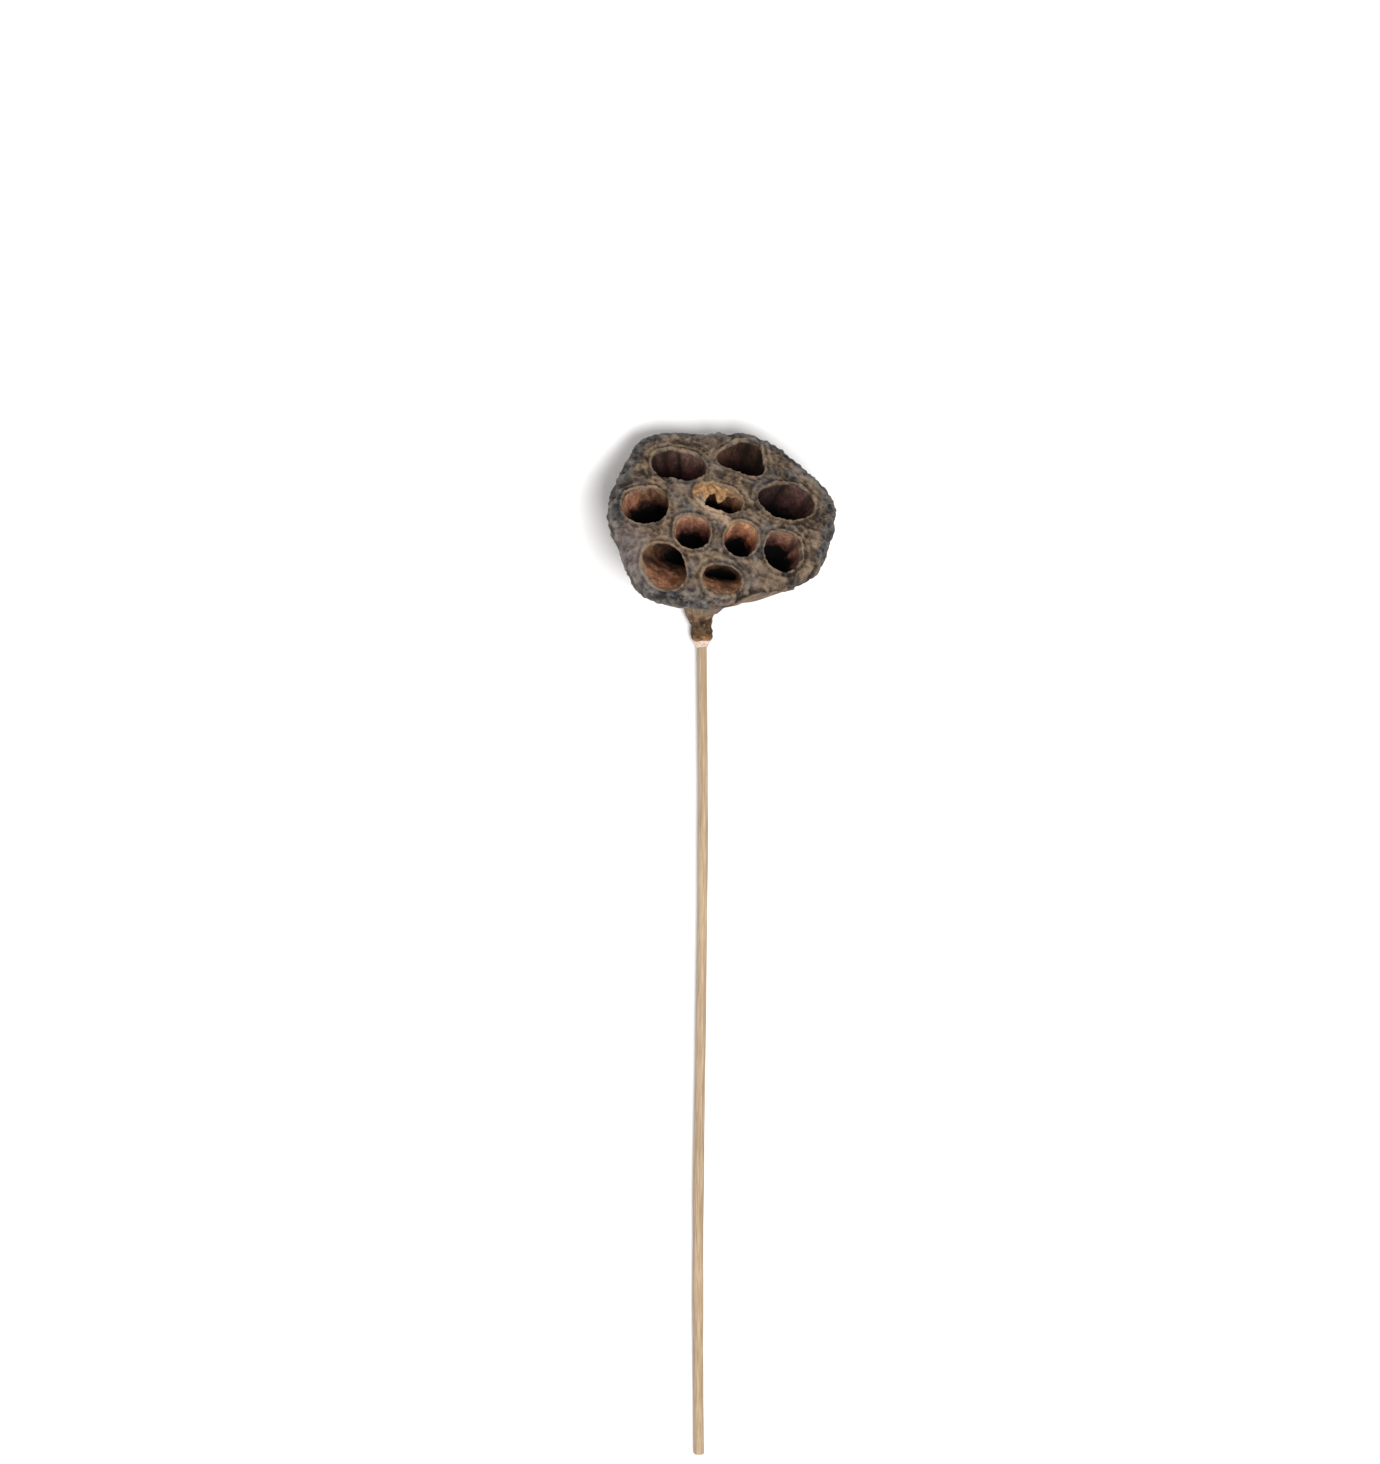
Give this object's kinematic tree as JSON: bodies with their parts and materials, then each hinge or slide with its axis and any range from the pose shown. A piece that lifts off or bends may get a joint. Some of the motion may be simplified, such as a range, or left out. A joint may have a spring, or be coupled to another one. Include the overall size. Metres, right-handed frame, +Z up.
{
  "type": "dried lotus pod",
  "caption": "Dried lotus seed pod with open, empty seed cells in a lobed face and a bent neck, glued to a thin reed stem and lying on its side",
  "frame": {"origin": "middle of the bounding box's footprint, on the surface that the pod lies on", "axes": "+Z up from the surface; +Y along the stem, from the pod's face end to the stem's cut end; +X across the pod"},
  "size_m": [0.0924, 0.4354, 0.0747],
  "materials": {
    "pod": "dry, rough, spongy crust, grey-brown with blue-grey rim and red-brown cell walls",
    "glue": "cloudy hot-melt glue, slightly glossy",
    "reed": "smooth dry reed, satin, fine lengthwise fibres"
  },
  "bodies": {
    "root": {"seed_pod": "pod", "glue_bead": "glue", "stem": "reed"}
  },
  "joints": []
}
